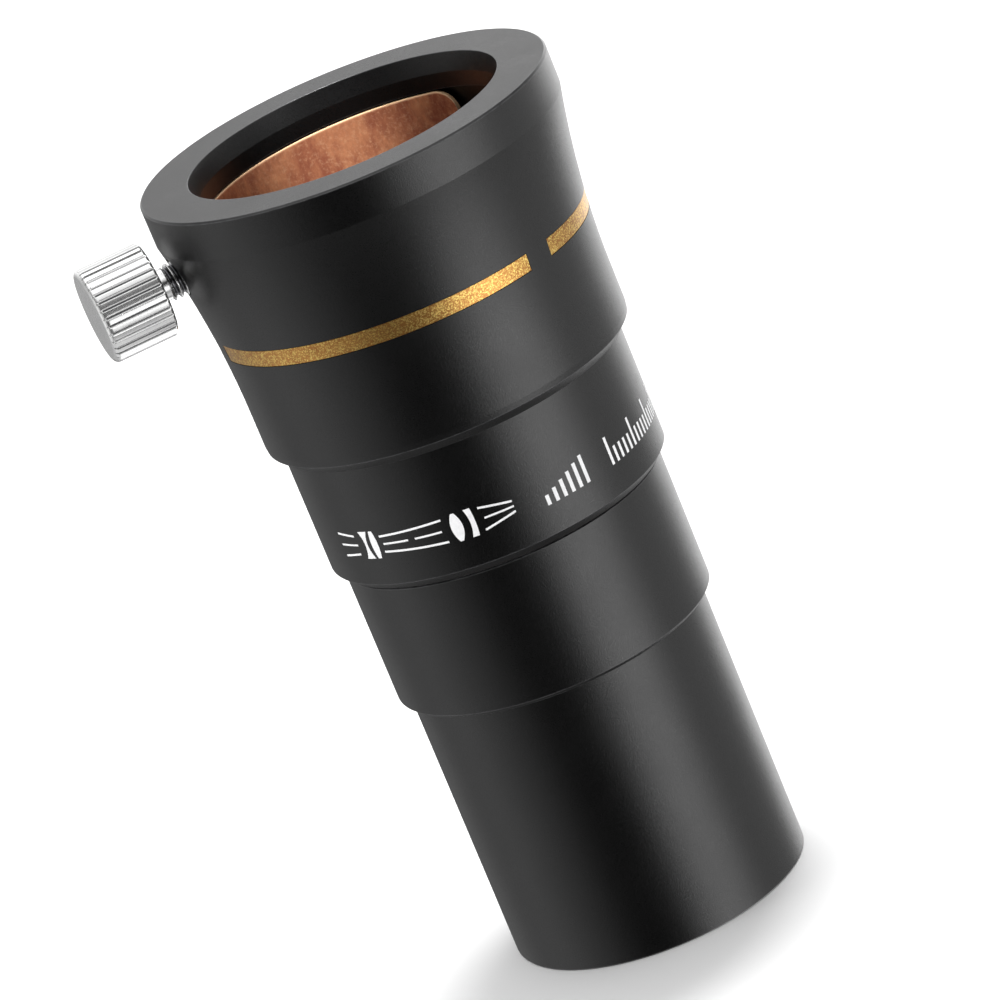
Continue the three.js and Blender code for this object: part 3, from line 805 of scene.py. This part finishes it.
def build_retaining_ring(name, node, inner, outer, material):
    """A threaded ring with a bevelled hole and two slots for a spanner."""
    low, high = (c.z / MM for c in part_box(node))
    bevel = 0.45
    outline = rounded([
        (inner, low, 0.03), (outer, low, 0.04), (outer, high, 0.04),
        (inner + bevel, high, 0.04), (inner, high - 1.2 * bevel, 0.04),
    ], 3)
    ring = lathe(name, outline, even_angles(SMALL_SIDES))
    half_width, depth = 0.45, 0.55
    corners = [(x, y, z) for z in (high - depth, high + 1)
               for x, y in ((-outer - 1, -half_width), (outer + 1, -half_width),
                            (outer + 1, half_width), (-outer - 1, half_width))]
    faces = [(0, 1, 2, 3), (4, 5, 6, 7), (0, 1, 5, 4), (1, 2, 6, 5), (2, 3, 7, 6), (3, 0, 4, 7)]
    subtract(ring, make("slot_cutter", corners, faces))
    return finish_piece(ring, "root", [node], material)


def build_rear_cell(material):
    bore, outer, pocket, seat = 9.2, NOSE_BORE - 0.08, 10.48, 47.6
    low, high = node_base("rear_cell"), node_top("rear_cell")
    outline = rounded([
        (bore, low, 0.08), (outer, low, 0.08), (outer, high, 0.08), (pocket, high, 0.12),
        (pocket, seat, 0.03), (bore, seat, 0.03),
    ])
    cell = lathe("rear_cell_tube", outline, even_angles(SMALL_SIDES))
    return finish_piece(cell, "root", ["rear_cell"], material)


def build_front_group(black, front_glass, inner_glass):
    cement, cemented = sphere_height(7.6, 9.5), sphere_height(7.63, 9.5)
    inner_face = sphere_height(9.6, 26)
    clear, radius = 5.0, 6.1
    seam = cement(clear)
    build_front_cell(black)
    build_lens("front_lens_sky_side", "front_lens_outer", radius, clear, sphere_height(6.55, 20),
               cement, (7.2, seam), front_glass)
    build_lens("front_lens_inner_side", "front_lens_inner", radius, clear, cemented, inner_face,
               (seam + 0.03, inner_face(clear)), inner_glass)
    build_retaining_ring("front_ring_slotted", "front_retaining_ring", clear, radius, black)


def build_rear_group(black, glass):
    cement, cemented = sphere_height(51.9, -24), sphere_height(51.93, -24)
    top_face = sphere_height(53.3, -60)
    clear, radius = 9.3, 10.4
    seam = cement(clear)
    build_rear_cell(black)
    build_lens("rear_lens_crown", "rear_lens_lower", radius, clear, sphere_height(47.1, 42),
               cement, (48.15, seam), glass)
    build_lens("rear_lens_flint", "rear_lens_upper", radius, clear, cemented, top_face,
               (seam + 0.03, top_face(clear)), glass)
    build_retaining_ring("rear_ring_slotted", "rear_retaining_ring", clear, radius, black)


# ------------------------------------------------------------------ printed marks

PRINT_MID = 50.6            # middle height of the printed marks
PRINT_START = -162.0        # azimuth of the left end of the marks
PRINT_HALF = 1.5            # half of the marks' height
INK_RAISE, INK_SINK = 0.02, 0.01


# A printed mark is a list of (left, right) edge points in (s, z): s is the length round the
# cylinder from PRINT_START and z the height above PRINT_MID.

def line_mark(start, end, width, step=0.25):
    """A straight line of even width, in pieces short enough to bend round the cylinder."""
    start, end = Vector(start), Vector(end)
    way = (end - start).normalized()
    side = Vector((-way.y, way.x)) * width / 2
    pieces = max(1, math.ceil((end - start).length / step))
    path = [start.lerp(end, piece / pieces) for piece in range(pieces + 1)]
    return [(point + side, point - side) for point in path]


def lens_mark(s, left, right, thick, steps=16):
    """A filled lens section: its two surfaces bulge along s by left and right."""
    edges = []
    for step in range(steps + 1):
        share = 2 * step / steps - 1
        bow = 1 - share * share
        z = PRINT_HALF * share
        edges.append((Vector((s - thick / 2 - left * bow, z)), Vector((s + thick / 2 + right * bow, z))))
    return edges


def light_path_marks():
    """A small optical diagram: two lens pairs on a broken axis with the light's edges between."""
    marks = [
        lens_mark(3.9, -0.40, -0.42, 1.15),
        lens_mark(5.05, 0.22, 0.20, 0.42),
        lens_mark(14.6, 0.42, 0.46, 0.35),
        lens_mark(16.1, -0.28, 0.10, 0.70),
    ]
    for start, end in ((0.0, 2.6), (6.2, 9.2), (10.0, 13.0), (17.5, 20.6)):
        marks.append(line_mark((start, 0.0), (end, 0.0), 0.2))
    for side in (-1, 1):
        marks.append(line_mark((6.0, 0.85 * side), (13.3, 1.2 * side), 0.22))
        marks.append(line_mark((17.2, 1.2 * side), (20.6, 0.55 * side), 0.22))
        marks.append(line_mark((0.0, 1.25 * side), (2.5, 1.0 * side), 0.22))
    return marks


def graduation_marks():
    """Two runs of plain scale lines, every fifth one long."""
    marks = []
    for index in range(6):
        rise = PRINT_HALF * (0.35 + 0.13 * index)
        s = 24.0 + index * 0.95
        marks.append(line_mark((s, -PRINT_HALF), (s, 2 * rise - PRINT_HALF), 0.4))
    for index in range(16):
        top = PRINT_HALF if index % 5 == 0 else PRINT_HALF * 0.1
        s = 32.4 + index * 0.85
        marks.append(line_mark((s, -PRINT_HALF), (s, top), 0.34))
    return marks


def build_print(number, edges, material):
    def wrap(point, radius):
        return on_cylinder(PRINT_START + math.degrees(point.x / PRINT_RADIUS), radius, PRINT_MID + point.y)

    low, high = PRINT_RADIUS - INK_SINK, PRINT_RADIUS + INK_RAISE
    sections = []
    for left, right in edges:
        middle = (left + right) / 2
        sections.append([wrap(left, low), wrap(left, high), wrap(middle, high),
                         wrap(right, high), wrap(right, low), wrap(middle, low)])
    ink = swept(f"print_mark_{number}", sections, 40)
    return finish_piece(ink, "root", [], material)


# ------------------------------------------------------------------ stage

CAMERA_AZIMUTH, CAMERA_ELEVATION, CAMERA_ROLL = -10.5, 18.4, 22.54
CAMERA_TARGET = Vector((0.0002, 0.0, 0.0457))
CAMERA_DISTANCE, CAMERA_LENS = 0.6166, 220.4


def build_camera():
    data = bpy.data.cameras.new("main_camera")
    data.lens, data.sensor_width = CAMERA_LENS, 36.0
    data.clip_start, data.clip_end = 0.01, 20.0
    camera = bpy.data.objects.new("main_camera", data)
    bpy.context.scene.collection.objects.link(camera)
    a, e, roll = (math.radians(v) for v in (CAMERA_AZIMUTH, CAMERA_ELEVATION, CAMERA_ROLL))
    back = Vector((math.sin(a) * math.cos(e), -math.cos(a) * math.cos(e), math.sin(e)))
    level = Vector((math.cos(a), math.sin(a), 0.0))
    upright = back.cross(level)
    right = level * math.cos(roll) - upright * math.sin(roll)
    up = level * math.sin(roll) + upright * math.cos(roll)
    camera.matrix_world = Matrix.Translation(CAMERA_TARGET + back * CAMERA_DISTANCE) @ Matrix(
        (right, up, back)).transposed().to_4x4()
    bpy.context.scene.camera = camera


def build_floor():
    size, drop = 6.0, 0.00002
    z = CAD_LOW.z - drop
    mesh = bpy.data.meshes.new("floor")
    corners = [(-size, -size, z), (size, -size, z), (size, size, z), (-size, size, z)]
    mesh.from_pydata(corners, [], [(0, 1, 2, 3)])
    floor = bpy.data.objects.new("floor", mesh)
    bpy.context.scene.collection.objects.link(floor)
    material, tree, shader, place = begin("pale_floor")
    tone = colour_mix(tree, noise(tree, place, 3.0), (0.90, 0.90, 0.90), (0.93, 0.93, 0.93))
    connect(tree, shader, Base_Color=tone)
    shader.inputs["Roughness"].default_value = 0.9
    shader.inputs["Specular IOR Level"].default_value = 0.0
    mesh.materials.append(material)
    floor.visible_glossy = False
    return floor


def direction(azimuth, elevation):
    a, e = math.radians(azimuth + CAMERA_AZIMUTH), math.radians(elevation)
    return (math.cos(a) * math.cos(e), math.sin(a) * math.cos(e), math.sin(e))


# Soft boxes of the studio as seen from the object: azimuth with the camera at -90 degrees,
# elevation, inner and outer half-angle, brightness. They fade out between the two angles.
SOFT_BOXES = [
    (-48, -15, 6, 31, 3.6),
    (2, -8, 10, 45, 0.85),
    (62, -4, 12, 34, 2.2),
    (62, -52, 8, 30, 1.15),
    (92, 26, 20, 48, 0.8),
    (150, -10, 10, 60, 0.42),
    (195, -10, 8, 45, 0.62),
    (0, -90, 25, 56, 0.65),
    (0, 90, 25, 62, 1.4),
]
ROOM_LIGHT = 0.03

# Round soft lamps: name, azimuth and elevation as above, distance and size in metres, watts.
SOFT_LAMPS = [
    ("overhead", 64, 82, 1.1, 0.23, 10.4),
    ("left_fill", 185, 8, 0.8, 0.3, 1.4),
]
# The spot into the socket: azimuth, elevation, distance in metres, watts, then its beam's
# radius where it lands, and the point that it aims at as azimuth, radius and height.
SPOT_AZIMUTH, SPOT_ELEVATION, SPOT_DISTANCE, SPOT_WATTS = -90, 71, 0.6, 50.0
SPOT_BEAM, SPOT_LAMP_RADIUS = 0.0105, 0.004
AIM_AZIMUTH, AIM_RADIUS, AIM_HEIGHT = 98, 0.0155, 0.0825


def build_world():
    world = bpy.data.worlds.new("studio")
    bpy.context.scene.world = world
    world.use_nodes = True
    tree = world.node_tree
    way = add(tree, "ShaderNodeTexCoord").outputs["Generated"]
    light = add(tree, "ShaderNodeMath", {0: ROOM_LIGHT, 1: 0.0}, operation="ADD").outputs[0]
    for azimuth, elevation, inner, outer, strength in SOFT_BOXES:
        near = add(tree, "ShaderNodeVectorMath", {0: way, 1: direction(azimuth, elevation)},
                   operation="DOT_PRODUCT").outputs["Value"]
        box = add(tree, "ShaderNodeMapRange", {
            "Value": near, "From Min": math.cos(math.radians(outer)),
            "From Max": math.cos(math.radians(inner)), "To Min": 0.0, "To Max": strength,
        }, interpolation_type="SMOOTHSTEP").outputs["Result"]
        light = total(tree, light, box)
    tree.links.new(light, tree.nodes["Background"].inputs["Strength"])
    tree.nodes["Background"].inputs["Color"].default_value = (1.0, 1.0, 1.0, 1.0)


def area_light(name, azimuth, elevation, distance, size, watts):
    """A round soft light that looks at the object's middle from a direction and distance."""
    data = bpy.data.lights.new(name, "AREA")
    data.shape, data.size, data.energy = "DISK", size, watts
    lamp = bpy.data.objects.new(name, data)
    bpy.context.scene.collection.objects.link(lamp)
    lamp.visible_glossy = False
    away = Vector(direction(azimuth, elevation))
    lamp.location = CAMERA_TARGET + away * distance
    lamp.rotation_mode, lamp.rotation_quaternion = "QUATERNION", away.to_track_quat("Z", "Y")


def bore_spot():
    """A narrow spot that reaches through the mouth to the far side of the compression ring."""
    data = bpy.data.lights.new("bore_spot", "SPOT")
    data.energy, data.shadow_soft_size = SPOT_WATTS, SPOT_LAMP_RADIUS
    data.spot_size, data.spot_blend = 2 * math.atan(SPOT_BEAM / SPOT_DISTANCE), 1.0
    lamp = bpy.data.objects.new("bore_spot", data)
    bpy.context.scene.collection.objects.link(lamp)
    aim = Vector(direction(AIM_AZIMUTH, 0)) * AIM_RADIUS + Vector((0, 0, AIM_HEIGHT))
    away = Vector(direction(SPOT_AZIMUTH, SPOT_ELEVATION))
    lamp.location = aim + away * SPOT_DISTANCE
    lamp.rotation_mode, lamp.rotation_quaternion = "QUATERNION", away.to_track_quat("Z", "Y")


def build_stage():
    scene = bpy.context.scene
    scene.view_settings.view_transform = "Standard"
    build_camera()
    build_floor()
    build_world()
    for lamp in SOFT_LAMPS:
        area_light(*lamp)
    bore_spot()


# ------------------------------------------------------------------ assembly

def build_object():
    black, cell = black_anodised(), cell_black()
    gold, bronze = gold_enamel(), ring_bronze()
    front_glass = coated_glass("coated_glass_front", (0.48, 0.74, 0.82))
    inner_glass = coated_glass("coated_glass_inner", (0.78, 0.90, 0.94))
    rear_glass = coated_glass("coated_glass_rear", (0.80, 0.92, 0.93))
    build_holder(black)
    for number, arc in enumerate(BAND_ARCS, 1):
        build_band(number, arc, gold)
    build_ring(bronze)
    build_head(bright_plate())
    build_shank(screw_steel())
    build_nosepiece(black)
    build_light_stop("light_stop_front", 6.6, cell)
    build_light_stop("light_stop_rear", 8.4, cell)
    build_front_group(cell, front_glass, inner_glass)
    build_rear_group(cell, rear_glass)
    ink = white_ink()
    for number, edges in enumerate(light_path_marks() + graduation_marks(), 1):
        build_print(number, edges, ink)


build_stage()
build_object()
